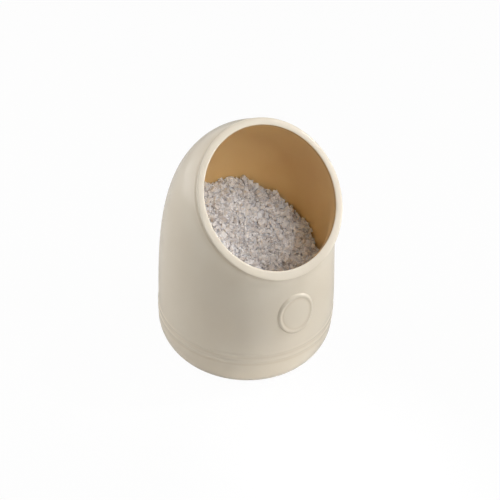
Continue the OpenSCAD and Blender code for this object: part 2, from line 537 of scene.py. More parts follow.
@dataclass(frozen=True)
class CoarseSalt:
    """Greyish white salt: each grain has its own tone, slightly lilac, with a cloudy inside."""

    # Greyest grain tone at random; the bed under the grains takes it all over as painted shade in
    # the gaps.
    grey_and_gap_shade: Colour = tone(176, 171, 174)
    bright: Colour = tone(241, 243, 247)
    milky_from: float = 0.35
    milky_to: float = 0.75
    milky_share: float = 0.5
    cloud_pitch: float = 0.9 * MM
    grain_depth: float = 0.05 * MM
    grain_strength: float = 0.6
    gloss_low: float = 0.22
    gloss_high: float = 0.5
    ior: float = 1.54

    def build(self) -> Material:
        """Lays out the nodes of the salt.

        Returns:
            The material.
        """
        board = FinishBoard("coarse_salt", self.ior)
        cloud = board.noise(self.cloud_pitch, 3.0)
        colour = board.blend(board.attribute(Mask.TINT), self.grey_and_gap_shade, self.bright)
        milky = board.spread(cloud, self.milky_from, self.milky_to, 0.0, self.milky_share)
        colour = board.blend(milky, colour, self.bright)
        gloss = board.spread(
            cloud, board.NOISE_LOW, board.NOISE_HIGH, self.gloss_low, self.gloss_high
        )
        return board.finish(colour, gloss, cloud, self.grain_depth, self.grain_strength)


@dataclass(frozen=True)
class JarForm:
    """Driving sizes of the jar's wall in metres and radians, and the curves that follow."""

    wall_r: float = 51 * MM
    wall_t: float = 4.6 * MM
    floor_t: float = 5 * MM
    inner_corner_r: float = 9 * MM
    foot_r: float = 41.4 * MM
    foot_w: float = 5.4 * MM
    foot_h: float = 1.5 * MM
    foot_flare: float = 1.2 * MM
    sweep_h: float = 16 * MM
    sweep_power: float = 1.65
    bead_w: float = 2.8 * MM
    bead_out: float = 0.5 * MM
    bead_rise: float = 5.7 * MM
    bead_pitch: float = 4.8 * MM
    bead_margin: float = 0.6 * MM
    mouth_tilt: float = math.radians(42)
    mouth_z: float = 107 * MM
    mouth_forward: float = 18.2 * MM
    lip_r: float = 41.3 * MM
    lip_t: float = 3.7 * MM
    neck_depth: float = 2.5 * MM
    front_rise: float = 7.5 * MM
    front_turn: float = 5.4 * MM
    front_exit: float = math.radians(47)
    back_rise: float = 41 * MM
    back_turn: float = 39 * MM
    back_exit: float = math.radians(20.5)
    shoulder_r: float = 50 * MM
    glaze_t: float = 0.4 * MM

    @property
    def bead_heights(self) -> tuple[float, float]:
        """Heights of the middles of the two raised rings."""
        low = self.sweep_h + self.bead_rise
        return low, low + self.bead_pitch

    @property
    def lean_z(self) -> float:
        """Height at which the upright wall ends and the hood starts."""
        return self.bead_heights[1] + self.bead_w / 2 + self.bead_margin

    @property
    def floor_z(self) -> float:
        """Height of the floor inside."""
        return self.foot_h + self.floor_t

    @property
    def inner_r(self) -> float:
        """Radius of the upright wall inside."""
        return self.wall_r - self.wall_t

    @property
    def mouth_inner_r(self) -> float:
        """Radius of the mouth inside the lip."""
        return self.lip_r - self.lip_t / 2

    @property
    def neck_r(self) -> float:
        """Radius of the neck, which is the lip's outer radius."""
        return self.lip_r + self.lip_t / 2

    @property
    def mouth_out(self) -> Array:
        """Direction of the mouth's axis as y and z."""
        return np.array([-math.cos(self.mouth_tilt), math.sin(self.mouth_tilt)])

    @property
    def mouth_up(self) -> Array:
        """Direction from the mouth's centre to its highest point as y and z."""
        return np.array([math.sin(self.mouth_tilt), math.cos(self.mouth_tilt)])

    @property
    def mouth_centre(self) -> Array:
        """Centre of the mouth in the plane of the lip's middle line, as y and z."""
        return np.array([-self.mouth_forward, self.mouth_z])

    def lines(self) -> tuple[Array, Array, Array]:
        """Control points of the hood's front line, back line and half width.

        Returns:
            Two arrays of four y and z points, and four half widths.
        """
        neck = self.mouth_centre - self.neck_depth * self.mouth_out
        lines = []
        for side, rise, turn, leave in (
            (-1, self.front_rise, self.front_turn, self.front_exit),
            (1, self.back_rise, self.back_turn, self.back_exit),
        ):
            start = np.array([side * self.wall_r, self.lean_z])
            end = neck + side * self.neck_r * self.mouth_up
            out = np.array([-math.cos(leave), math.sin(leave)])
            lines.append(np.array([start, start + [0.0, rise], end - turn * out, end]))
        widths = np.array([self.wall_r, self.wall_r, self.shoulder_r, self.neck_r])
        return lines[0], lines[1], widths

    @staticmethod
    def cubic(control: Array, share: Array) -> Array:
        """Point of a cubic curve: (1-u)^3 p0 + 3u(1-u)^2 p1 + 3u^2(1-u) p2 + u^3 p3 at share u."""
        u = share[..., None] if control.ndim > 1 else share
        return (
            (1 - u) ** 3 * control[0]
            + 3 * u * (1 - u) ** 2 * control[1]
            + 3 * u * u * (1 - u) * control[2]
            + u**3 * control[3]
        )

    def hood(self, share: Array, angle: Array, inset: Array | float) -> Array:
        """Point of the hood at a share of the way from the upright wall to the neck.

        The section there is an oval that spans from the front line to the back line. x is
        (half width - inset) sin a, and y and z are the span's middle less the rest of its half
        after the inset, times cos a.

        Args:
            share: Shares of the way.
            angle: Angles round the section.
            inset: Distances inside the outer skin.

        Returns:
            Points as x, y and z, in the shape that the three share.
        """
        share, angle, inset = np.broadcast_arrays(share, angle, inset)
        front, back, half_width = (self.cubic(line, share) for line in self.lines())
        middle, half = (front + back) / 2, (back - front) / 2
        kept = half * (1 - inset / np.linalg.norm(half, axis=-1))[..., None]
        x = (half_width - inset) * np.sin(angle)
        turned = middle - kept * np.cos(angle)[..., None]
        return np.stack([x, turned[..., 0], turned[..., 1]], axis=-1)

    def hood_wall(self, share: Array) -> Array:
        """Wall thickness, which falls evenly to the lip's own at the neck."""
        return self.wall_t + (self.lip_t - self.wall_t) * share

    def sweep(self, height: Array) -> Array:
        """Radius of the foot's sweep: a superellipse from the foot out to the upright wall."""
        left = (1 - np.clip(height / self.sweep_h, 0.0, 1.0)) ** self.sweep_power
        return self.foot_r + (self.wall_r - self.foot_r) * (1 - left) ** (1 / self.sweep_power)

    @staticmethod
    def level(radius: Array, height: Array, angle: Array) -> Array:
        """Rows of level circles.

        Args:
            radius: Radius of each row.
            height: Height of each row.
            angle: Angles of the columns.

        Returns:
            Points as rows by columns by three.
        """
        radius, height = radius[:, None], height[:, None]
        x, y = radius * np.sin(angle), -radius * np.cos(angle)
        return np.stack([x, y, np.broadcast_to(height, x.shape)], axis=-1)

    def mouth(self, radius: Array, lift: Array, angle: Array) -> Array:
        """Rows of rings parallel to the mouth.

        Args:
            radius: Radius of each row and column.
            lift: Distance outwards along the mouth's axis of each row and column.
            angle: Angles of the columns.

        Returns:
            Points as rows by columns by three.
        """
        x = radius * np.sin(angle)
        rise = -radius * np.cos(angle)
        y = self.mouth_centre[0] + lift * self.mouth_out[0] + rise * self.mouth_up[0]
        z = self.mouth_centre[1] + lift * self.mouth_out[1] + rise * self.mouth_up[1]
        return np.stack([x, y, z], axis=-1)

    def inner_corner(self, inset: float, turn: Array, angle: Array) -> Array:
        """Rounded corner between wall and floor inside: a quarter circle carried round.

        Args:
            inset: Distance inside the fired wall.
            turn: Angle of each row on the quarter circle, from 0 at the floor.
            angle: Angles of the columns.

        Returns:
            Points as rows by columns by three.
        """
        radius = self.inner_corner_r - inset
        out = self.inner_r - self.inner_corner_r + radius * np.sin(turn)
        height = self.floor_z + self.inner_corner_r - radius * np.cos(turn)
        return self.level(out, height, angle)

    def inner_skin(self, inset: float, angle: Array, hood_rows: int, corner_rows: int) -> Array:
        """Inner face of the wall from the neck down to the floor, drawn in by an inset.

        Args:
            inset: Distance inside the fired wall.
            angle: Angles of the columns.
            hood_rows: Rows on the hood.
            corner_rows: Rows in the corner at the floor.

        Returns:
            Points as rows by columns by three.
        """
        share = np.linspace(1.0, 0.0, hood_rows)[:, None]
        hood = self.hood(share, angle[None, :], self.hood_wall(share) + inset)
        turn = np.linspace(math.pi / 2, 0.0, corner_rows)
        return np.concatenate([hood, self.inner_corner(inset, turn, angle)])

    def front_wall(self, x: Array, z: Array) -> Array:
        """Point of the front wall at a sideways place and a height, found by halving the share.

        Args:
            x: Sideways places.
            z: Heights.

        Returns:
            Points as x, y and z.
        """
        half_width = self.lines()[2]

        def wall(share: Array) -> Array:
            """Point of the wall at a share of the hood and the sideways place."""
            angle = np.arcsin(np.clip(x / self.cubic(half_width, share), -1, 1))
            return self.hood(share, angle, 0.0)

        return wall(by_halving(x, lambda share: wall(share)[..., 2] < z))


@dataclass
class GlazedJar:
    """The fired jar in its cream glaze: foot sweep, raised rings, hood and lip in one skin."""

    form: JarForm
    glaze: Material
    columns: int = 336
    under_rows: int = 5
    under_start: float = 0.1
    sweep_rows: int = 26
    upright_rows: int = 46
    hood_rows: int = 92
    crease_rows: int = 4
    lip_rows: int = 56
    inner_rows: int = 26
    inner_corner_rows: int = 6
    neck_crowding: float = 1.5
    ring_show: float = 0.55
    # Darker tone: glaze pools and painted shade in a line below each ring, at the neck and on the
    # lip's underside.
    pool_and_shade_drop: float = 0.8
    pool_and_shade_w: float = 0.8 * MM
    neck_pool_and_shade: float = 0.06
    warm_start: float = 0.88
    lip_start: float = math.radians(-55)
    lip_end: float = math.radians(225)
    lip_inward: float = 0.4 * MM
    lip_outward: float = 1.35 * MM
    lip_trim: float = 0.25 * MM
    lip_square: float = 3.4
    lip_round: float = 2.3
    lip_drop: float = 1.2 * MM
    neck_flare: float = 1.0 * MM
    flare_reach: float = 0.14
    edge_soft: float = 0.35 * MM

    def ring_relief(self, height: Array) -> Array:
        """Stand-out of the raised rings: out times cos^2 of the way, softened by the glaze."""
        show, half = self.ring_show * self.form.bead_out, self.form.bead_w / 2
        return sum(show * ridge(height - middle, half) for middle in self.form.bead_heights)

    def ring_pool_and_shade(self, height: Array) -> Array:
        """Share of glaze pools and painted shade under each raised ring, as a soft dark line just
        below it.
        """
        drop = self.pool_and_shade_drop * self.form.bead_w
        return np.maximum(*(bell(height - z + drop, self.pool_and_shade_w) for z in self.form.bead_heights))

    def lip(self, turn: Array, angle: Array) -> Array:
        """Rolled lip from its crease over the top and down inside, as rows round the mouth.

        The roll is a superellipse |x/w|^n + |y/h|^n = 1, where n is lip_square on its inner half
        and lip_round on its outer half, so that its face is flat and its outer edge is round.
        It bulges inwards by lip_inward (1 - cos a) / 2 and outwards by lip_outward
        ((1 + cos a) / 2)^2 - lip_trim sin^2 a, where a is 0 at the bottom.

        Args:
            turn: Angle of each row round the roll, 0 at its outermost point.
            angle: Angles of the columns.

        Returns:
            Points as rows by columns by three.
        """
        turn, angle = turn[:, None], angle[None, :]
        tube = self.form.lip_t / 2
        bulge = self.lip_outward * front_weight(angle)
        outside = tube + bulge - self.lip_trim * np.sin(angle) ** 2
        inside = tube + self.lip_inward * (1 - np.cos(angle)) / 2
        flat = 2 / np.where(np.cos(turn) > 0, self.lip_round, self.lip_square)
        across = np.sign(np.cos(turn)) * np.abs(np.cos(turn)) ** flat
        along = np.sign(np.sin(turn)) * np.abs(np.sin(turn)) ** flat
        across = across * np.where(across > 0, outside, inside)
        along = along * np.where(along > 0, tube - self.lip_drop, tube)
        return self.form.mouth(self.form.lip_r + across, along, angle)

    def rows(self) -> tuple[Array, Array, Array]:
        """Works out the skin, from under the foot over the lip and down inside to the floor.

        Under the lip the neck is wider by neck_flare ((1 + cos a) / 2)^2, and the hood by the same
        times exp(-((1 - u) / flare_reach)^2) at share u of the way up.

        Returns:
            Points as rows by columns by three, and per row the share of glaze pools and painted
            shade, and the warm share.
        """
        form = self.form
        angle = angles_round(self.columns)
        under_r = form.sweep(np.array(form.foot_h)) - self.edge_soft
        under = np.linspace(self.under_start, 1.0, self.under_rows) * under_r
        climb = np.linspace(0.0, 1.0, self.sweep_rows) ** 2
        sweep_z = form.foot_h + (form.sweep_h - form.foot_h) * climb
        upright_z = np.linspace(form.sweep_h, form.lean_z, self.upright_rows + 1)[1:]
        left = (1 - np.linspace(0.0, 1.0, self.hood_rows + 1)[1:, None]) ** self.neck_crowding
        share = 1 - left
        flare = self.neck_flare * front_weight(angle[None, :])
        widening = flare * bell(1 - share, self.flare_reach)
        neck = form.mouth(form.neck_r + flare, -form.neck_depth, angle)
        drawn = np.linspace(0.0, 1.0, self.crease_rows + 1)[1:-1, None, None]
        turn = np.linspace(self.lip_start, self.lip_end, self.lip_rows)
        lip = self.lip(turn, angle)
        # Darker from the lip's crease up to its outermost point: glaze pools and painted shade
        # under the lip.
        lip_pool_and_shade = 1 - smooth_step(self.lip_start, 0.0, turn)
        lip_warm = smooth_step(self.warm_start, 1.0, turn / math.pi)
        upright = form.level(form.wall_r + self.ring_relief(upright_z), upright_z, angle)
        hood = form.hood(share, angle[None, :], -widening)
        inner = form.inner_skin(-form.lip_t / 4, angle, self.inner_rows, self.inner_corner_rows)
        bands = [  # points, share of glaze pools and painted shade, warm share
            (form.level(under, np.full_like(under, form.foot_h), angle), 0.0, 0.0),
            (form.level(form.sweep(sweep_z), sweep_z, angle), 0.0, 0.0),
            (upright, self.ring_pool_and_shade(upright_z), 0.0),
            # The top of the hood and the crease carry the darker tone as glaze pools and painted
            # shade under the lip.
            (hood, bell(1 - share[:, 0], self.neck_pool_and_shade), 0.0),
            (neck + (lip[:1] - neck) * drawn, 1.0, 0.0),
            (lip, lip_pool_and_shade, lip_warm),
            (inner, 0.0, 1.0),
        ]
        grid = np.concatenate([points for points, _, _ in bands])
        pool_and_shade = np.concatenate([np.broadcast_to(pool_and_shade, len(points)) for points, pool_and_shade, _ in bands])
        warm = np.concatenate([np.broadcast_to(warm, len(points)) for points, _, warm in bands])
        return grid, pool_and_shade, warm

    @staticmethod
    def soften(grid: Array, middle: int, reach: int, passes: int) -> None:
        """Rounds a turn between rows: each becomes half itself and a quarter of each neighbour.

        Args:
            grid: Points as rows by columns by three, changed in place.
            middle: Row at the turn.
            reach: Rows on each side that are changed.
            passes: How often it is done.
        """
        first, end = middle - reach, middle + reach + 1
        for _ in range(passes):
            neighbours = grid[first - 1 : end - 1] + grid[first + 1 : end + 1]
            grid[first:end] = grid[first:end] / 2 + neighbours / 4

    def build(self) -> None:
        """Makes and dresses the glazed jar."""
        grid, pool_and_shade, warm = self.rows()
        foot_turn = self.under_rows
        neck_turn = foot_turn + self.sweep_rows + self.upright_rows + self.hood_rows - 1
        self.soften(grid, foot_turn, reach=1, passes=1)
        self.soften(grid, neck_turn, reach=4, passes=3)
        self.soften(grid, neck_turn + self.crease_rows, reach=2, passes=1)
        shape = grid.shape[:2]
        masks = {
            Mask.POOL_AND_SHADE: np.broadcast_to(pool_and_shade[:, None], shape),
            Mask.WARM: np.broadcast_to(warm[:, None], shape),
        }
        piece = add_skin("glazed_jar", grid, masks)
        dress(piece, self.glaze, Slot.CREAM, "hooded_body", "rolled_lip", "base_beads")


@dataclass
class FrontMedallion:
    """Plain round plaque on the front wall, with a raised border that the glaze has softened."""

    form: JarForm
    glaze: Material
    radius: float = 11.4 * MM
    height: float = 48 * MM
    border_w: float = 2.2 * MM
    border_h: float = 1.0 * MM
    border_spread: float = 0.62
    field_h: float = 0.6 * MM
    fade: float = 0.9 * MM
    fade_inside: float = 0.4
    sunk: float = 0.25 * MM
    back: float = 0.9 * MM
    back_step: int = 4
    pool_inside_w: float = 0.7 * MM
    pool_outside_w: float = 0.8 * MM
    hub: float = 0.015
    columns: int = 192
    rings: int = 64

    @property
    def border_middle(self) -> float:
        """Distance from the plaque's middle to the border's."""
        return self.radius - self.border_w / 2

    def relief(self, reach: Array) -> Array:
        """Height above the wall: a flat field, a rounded border and a fall into the wall.

        Args:
            reach: Distances from the plaque's middle.

        Returns:
            Heights above the wall.
        """
        half = self.border_spread * self.border_w
        border = (self.border_h - self.field_h) * ridge(reach - self.border_middle, half)
        fall = smooth_step(
            self.radius - self.fade_inside * self.fade, self.radius + self.fade, reach
        )
        return (self.field_h + border) * (1 - fall) - self.sunk * fall

    def build(self) -> None:
        """Makes and dresses the plaque, which leaves the wall square to the jar's axis."""
        reach = np.linspace(self.hub, 1.0, self.rings)[:, None] * (self.radius + self.fade)
        angle = angles_round(self.columns)[None, :]
        wall = self.form.front_wall(reach * np.cos(angle), self.height + reach * np.sin(angle))
        outward = wall * np.array([1.0, 1.0, 0.0])
        outward /= np.linalg.norm(outward, axis=-1, keepdims=True)
        face = wall + self.relief(reach)[..., None] * outward
        behind = (wall - self.back * outward)[:: -self.back_step]
        inner_edge = self.border_middle - self.border_spread * self.border_w
        # On the plaque the darker tone is only glaze pools, round the border's inner edge and the
        # plaque's foot.
        inside = bell(reach - inner_edge, self.pool_inside_w)
        outside = bell(reach - self.radius - self.fade, self.pool_outside_w)
        pool_and_shade = np.broadcast_to(np.maximum(inside, outside), face.shape[:2])
        pool_and_shade = np.concatenate([pool_and_shade, np.zeros(behind.shape[:2])])
        masks = {Mask.POOL_AND_SHADE: pool_and_shade, Mask.WARM: np.zeros_like(pool_and_shade)}
        piece = add_skin("medallion_plaque", np.concatenate([face, behind]), masks)
        dress(piece, self.glaze, Slot.CREAM, "front_medallion")


@dataclass
class InnerLining:
    """Ochre glaze coat over the whole inside, ending just under the lip."""

    form: JarForm
    glaze: Material
    columns: int = 256
    hood_rows: int = 90
    corner_rows: int = 14
    crowding: float = 1.4
    sink: float = 0.5 * MM
    undercut: float = 0.9 * MM
    undercut_reach: float = 0.12
    edge_lifts: tuple[float, float, float] = (-0.8, -0.35, -0.4)

    def face(self, angle: Array) -> Array:
        """Visible face of the coat: the inner skin, set back under the lip by the undercut.

        The set-back is undercut times exp(-((1 - u) / reach)^2) at share u of the hood.

        Args:
            angle: Angles of the columns.

        Returns:
            Points as rows by columns by three, from the neck down to the floor.
        """
        form = self.form
        share = (1 - np.linspace(0.0, 1.0, self.hood_rows) ** self.crowding)[:, None]
        back = self.undercut * bell(1 - share, self.undercut_reach)
        hood = form.hood(share, angle[None, :], form.hood_wall(share) + form.glaze_t - back)
        turn = np.linspace(math.pi / 2, 0.0, self.corner_rows)
        return np.concatenate([hood, form.inner_corner(form.glaze_t, turn, angle)])

    def build(self) -> None:
        """Makes and dresses the lining."""
        form = self.form
        angle = angles_round(self.columns)
        behind = form.inner_skin(-self.sink, angle, self.hood_rows // 3, self.corner_rows // 2)
        edge_r = form.mouth_inner_r - form.glaze_t + self.undercut
        edge = form.mouth(
            np.array([form.mouth_inner_r + self.sink, edge_r + form.glaze_t, edge_r])[:, None],
            np.array(self.edge_lifts)[:, None] * form.neck_depth,
            angle,
        )
        piece = add_skin("ochre_lining", np.concatenate([behind[::-1], edge, self.face(angle)]))
        dress(piece, self.glaze, Slot.OCHRE, "inner_glaze")


@dataclass
class BareFoot:
    """Wiped clay under the jar: the ring that it stands on and the shallow recess inside it."""

    form: JarForm
    clay: Material
    columns: int = 192
    recess: float = 0.15 * MM
    edge: float = 0.3 * MM
    toe_out: float = 0.1
    root_out: float = 0.8

    def build(self) -> None:
        """Makes and dresses the foot: a profile of radius and height carried round the axis."""
        form = self.form
        roof, top = form.foot_h - self.recess, form.foot_h + self.edge
        outer, inner = form.foot_r, form.foot_r - form.foot_w
        toe, root = self.toe_out * form.foot_flare, self.root_out * form.foot_flare
        profile = np.array([
            [inner / 2, roof],
            [inner - form.foot_flare - self.edge, roof],
            [inner - root, roof - self.edge],
            [inner - toe, self.edge],
            [inner + self.edge, 0.0],
            [(inner + outer) / 2, 0.0],
            [outer - self.edge, 0.0],
            [outer + toe, self.edge],
            [outer + form.foot_flare, form.foot_h],
            [outer + form.foot_flare, top],
            [inner / 2, top],
        ])
        grid = form.level(profile[:, 0], profile[:, 1], angles_round(self.columns))
        dress(add_skin("bare_foot", grid), self.clay, Slot.CLAY, "foot_ring")


@dataclass(frozen=True)
class GrainLayer:
    """One layer of loose grains: its spacing, its grains' middle length and their lift."""

    name: str
    step: float
    size: float
    lift: float
    seed: int
    node: str


@dataclass
class SaltHeap:
    """Coarse salt heaped against the back wall: a lumpy bed under thousands of loose grains.

    The drifts are pairs of an angle in degrees and a rise in millimetres at the lining.
    """

    form: JarForm
    salt: Material
    layers: tuple[GrainLayer, ...] = (
        GrainLayer("salt_grains", 1.5 * MM, 2.0 * MM, -0.1 * MM, SEED + 1, "salt_fill"),
        GrainLayer("salt_crystals_loose", 4.6 * MM, 2.5 * MM, 0.7 * MM, SEED + 2, "salt_crystals"),
    )
    crest_z: float = 82 * MM
    slope: float = math.radians(33)
    crest_y: float = 38 * MM
    toe_y: float = 28 * MM
    ease: float = 4 * MM
    lump_h: float = 0.6 * MM
    lump_pitch: float = 17 * MM
    clear: float = 0.3 * MM
    heave: float = 0.7 * MM
    heave_pitch: float = 8 * MM
    heave_waves: int = 9
    drifts: tuple[tuple[float, float], ...] = (
        (70, 0), (75, 0), (80, -4), (85, -4), (90, -2), (95, 0.5), (100, -2.4), (110, -2.2),
        (115, -4.6), (120, -2), (125, 0.2), (130, -2.5), (135, -4), (140, -2.4), (150, 0.8),
        (170, 1), (175, -1), (180, -1), (190, 0),
    )
    drift_start: float = 34 * MM
    drift_full: float = 43 * MM
    bed_drop: float = 0.7 * MM
    wall_gap: float = 0.7 * MM
    moat: float = 1.5 * MM
    moat_reach: float = 0.025
    bed_columns: int = 192
    bed_rings: int = 60
    bed_hub: float = 0.02
    corner_rows: int = 6
    side_rows: int = 8
    side_start: float = 0.1
    compass_steps: int = 721
    hex_row: float = 0.866
    shake: float = 0.42
    kinds: int = 8
    corner_shrink: float = 0.72
    corner_shake: float = 0.1
    chip: float = 0.45
    length_spread: float = 0.3
    length_limits: tuple[float, float] = (0.5, 1.7)
    stretch_low: tuple[float, float, float] = (0.85, 0.7, 0.55)
    stretch_high: tuple[float, float, float] = (1.15, 1.0, 0.9)
    sunk: float = 0.45
    raised: float = 0.35
    tint_power: float = 0.38

    def surface(self, x: Array, y: Array) -> Array:
        """Height of the heap: a slope that eases from a level crest to a level toe, with lumps.

        It is crest - tan(slope) (e(crest_y - y) - e(-toe_y - y)), where e(s) is ease times
        ln(1 + exp(s / ease)), plus the lumps' product of a sine and a cosine, a random heave, and
        drifts against the lining that are read off a table by angle and rise towards the wall.

        Args:
            x: Sideways places.
            y: Places towards the back.

        Returns:
            Heights.
        """

        def eased(s: Array) -> Array:
            """Bends smoothly from nought to s."""
            return self.ease * np.logaddexp(0.0, s / self.ease)

        fall = math.tan(self.slope) * (eased(self.crest_y - y) - eased(-self.toe_y - y))
        turn = TURN / self.lump_pitch
        lumps = self.lump_h * np.sin(x * turn) * np.cos((y + x / 2) * turn)
        heave = self.heave * ripple(x, y, self.heave_pitch, self.heave_waves, SEED)
        angle = np.degrees(np.arctan2(x, -y)) % 360
        against = smooth_step(self.drift_start, self.drift_full, np.hypot(x, y))
        drift = np.interp(angle, *zip(*self.drifts), left=0, right=0) * MM * against
        return self.crest_z - fall + lumps + heave + drift

    def side(self, share: Array, angle: Array) -> Array:
        """Point of the salt's side, just inside the lining, at a share of the hood."""
        inset = self.form.hood_wall(share) + self.form.glaze_t + self.clear
        return self.form.hood(share, angle, inset)

    def rim(self, angle: Array) -> Array:
        """Finds where the heap meets the lining, by halving.

        Args:
            angle: Angles round the jar.

        Returns:
            Shares of the hood.
        """

        def below(share: Array) -> Array:
            """Says whether the side is still under the heap's surface."""
            point = self.side(share, angle)
            return point[..., 2] < self.surface(point[..., 0], point[..., 1])

        return by_halving(angle, below)

    def build_bed(self) -> None:
        """Makes and dresses the closed bed that fills the jar under the loose grains.

        Its top is lowered at the wall by moat times exp(-((1 - r) / reach)^2) at share r of the
        way out, so that a thin shadow runs round the salt.
        """
        form = self.form
        angle = angles_round(self.bed_columns)
        share = self.rim(angle)
        rim = self.side(share, angle)
        turn = np.linspace(0.0, math.pi / 2, self.corner_rows)
        lower = form.inner_corner(form.glaze_t + self.clear, turn, angle)
        climb = np.linspace(self.side_start, 1.0, self.side_rows)[:, None] * share[None, :]
        side = self.side(climb, angle[None, :])
        side[-1, :, 2] -= self.bed_drop + self.moat
        scale = np.linspace(1.0, self.bed_hub, self.bed_rings)[1:, None]
        x, y = rim[None, :, 0] * scale, rim[None, :, 1] * scale
        moat = self.moat * bell(1 - scale, self.moat_reach)
        top = np.stack([x, y, self.surface(x, y) - self.bed_drop - moat], axis=-1)
        grid = np.concatenate([lower, side, top])
        # A tint of nought gives the whole bed the greyest salt tone: painted shade in the gaps
        # between the loose grains.
        piece = add_skin("salt_bed", grid, {Mask.TINT: np.zeros(grid.shape[:2])})
        dress(piece, self.salt, Slot.SALT, "salt_fill")

    def crystal_shapes(self, seed: int) -> list[tuple[Array, Array]]:
        """Broken block shapes of unit size: the hulls of a block's shaken and chipped corners.

        Args:
            seed: Seed of the breaks.

        Returns:
            Vertices and triangles of each shape.
        """
        random = np.random.default_rng(seed)
        sides = (-1, 1)
        corners = np.array([[a, b, c] for a in sides for b in sides for c in sides]) / 2
        shake = self.corner_shake
        shapes = []
        for _ in range(self.kinds):
            shrunk = corners * random.uniform(self.corner_shrink, 1.0, corners.shape)
            shaken = shrunk + random.uniform(-shake, shake, corners.shape)
            chipped = shaken[:2] * np.array([1.0, 1.0, self.chip])
            work = bmesh.new()
            for point in np.concatenate([shaken[1:], chipped]):
                work.verts.new(point)
            hull = bmesh.ops.convex_hull(work, input=work.verts)
            inner = [v for v in hull["geom_interior"] if isinstance(v, bmesh.types.BMVert)]
            bmesh.ops.delete(work, geom=inner, context="VERTS")
            bmesh.ops.triangulate(work, faces=work.faces)
            bmesh.ops.recalc_face_normals(work, faces=work.faces)
            work.verts.index_update()
            points = np.array([v.co for v in work.verts])
            triangles = np.array([[v.index for v in f.verts] for f in work.faces])
            work.free()
            shapes.append((points, triangles))
        return shapes

    @staticmethod
    def turns(count: int, random: np.random.Generator) -> Array:
        """Random rotations, from unit quaternions with normal parts.

        Args:
            count: Number of rotations.
            random: Source of chance.

        Returns:
            Rotation matrices as count by three by three.
        """
        q = random.normal(size=(count, 4))
        w, x, y, z = (q / np.linalg.norm(q, axis=1, keepdims=True)).T
        return np.stack([
            np.stack([1 - 2 * (y * y + z * z), 2 * (x * y - z * w), 2 * (x * z + y * w)], axis=-1),
            np.stack([2 * (x * y + z * w), 1 - 2 * (x * x + z * z), 2 * (y * z - x * w)], axis=-1),
            np.stack([2 * (x * z - y * w), 2 * (y * z + x * w), 1 - 2 * (x * x + y * y)], axis=-1),
        ], axis=-2)

    def scatter(self, step: float, random: np.random.Generator) -> Array:
        """Places of loose grains: a shaken hexagonal pattern over the heap, inside the lining.

        Args:
            step: Distance between neighbours along X.
            random: Source of chance.

        Returns:
            Places as x and y.
        """
        reach = self.form.inner_r
        row_step = step * self.hex_row * math.cos(self.slope)
        across, along = np.meshgrid(
            np.arange(-reach, reach, step), np.arange(-reach, reach, row_step)
        )
        across = across + (np.arange(len(across)) % 2)[:, None] * step / 2
        places = np.stack([across.ravel(), along.ravel()], axis=-1)
        places = places + random.uniform(-self.shake, self.shake, places.shape) * step
        angle = np.arctan2(places[:, 0], -places[:, 1])
        compass = np.linspace(-math.pi, math.pi, self.compass_steps)
        rim = self.side(self.rim(compass), compass)
        limit = np.interp(angle, compass, np.linalg.norm(rim[:, :2], axis=1)) - self.wall_gap
        return places[np.linalg.norm(places, axis=1) < limit]

    def build_grains(self, layer: GrainLayer) -> None:
        """Makes and dresses one layer of loose grains as a single piece.

        Args:
            layer: The layer.
        """
        random = np.random.default_rng(layer.seed)
        places = self.scatter(layer.step, random)
        count = len(places)
        kind = random.integers(0, self.kinds, count)
        longer = np.exp(random.normal(0.0, self.length_spread, count))
        length = layer.size * longer.clip(*self.length_limits)
        stretch = random.uniform(self.stretch_low, self.stretch_high, (count, 3))
        turn = self.turns(count, random)
        height = self.surface(places[:, 0], places[:, 1]) + layer.lift
        height = height + random.uniform(-self.sunk, self.raised, count) * layer.size
        centre = np.column_stack([places, height])
        tint = random.uniform(0.0, 1.0, count) ** self.tint_power
        points, faces, tints, start = [], [], [], 0
        for number, (shape, triangles) in enumerate(self.crystal_shapes(layer.seed)):
            chosen = kind == number
            sized = shape[None] * (length[chosen, None] * stretch[chosen])[:, None, :]
            placed = np.einsum("nij,nkj->nki", turn[chosen], sized) + centre[chosen][:, None, :]
            offset = start + np.arange(len(placed))[:, None, None] * len(shape)
            points.append(placed.reshape(-1, 3))
            faces.append((triangles[None] + offset).reshape(-1, 3))
            tints.append(np.repeat(tint[chosen], len(shape)))
            start += len(placed) * len(shape)
        masks = {Mask.TINT: np.concatenate(tints)}
        triangles = np.concatenate(faces).tolist()
        piece = add_piece(layer.name, np.concatenate(points), triangles, Shading.FACETED, masks)
        dress(piece, self.salt, Slot.SALT, layer.node)

    def build(self) -> None:
        """Makes the bed and the layers of grains."""
        self.build_bed()
        for layer in self.layers:
            self.build_grains(layer)


@dataclass(frozen=True)
class StudioLamp:
    """One lamp: its place round what it faces in degrees and metres, and its power in watts.

    A matte lamp lights the object without a highlight.
    """

    name: str
    azimuth: float
    elevation: float
    power: float
    distance: float = 0.9
    matte: bool = False

    def hang(self, lamp: bpy.types.Light, aim: Vector) -> None:
        """Puts a lamp at its place so that it faces the aim.

        Args:
            lamp: The lamp's data.
            aim: Point that it faces.
        """
        back = heading(math.radians(self.azimuth), math.radians(self.elevation))
        lamp.energy = self.power
        holder = bpy.data.objects.new(self.name, lamp)
        holder.location = aim + back * self.distance
        holder.rotation_mode = "QUATERNION"
        holder.rotation_quaternion = (-back).to_track_quat("-Z", "Y")
        holder.visible_glossy = not self.matte
        bpy.context.scene.collection.objects.link(holder)


@dataclass(frozen=True)
class SoftBox(StudioLamp):
    """Square lamp with an even face."""

    side: float = 0.5

    def build(self, aim: Vector) -> None:
        """Hangs the box.

        Args:
            aim: Point that it faces.
        """
        lamp = bpy.data.lights.new(self.name, "AREA")
        lamp.shape = "SQUARE"
        lamp.size = self.side
        self.hang(lamp, aim)


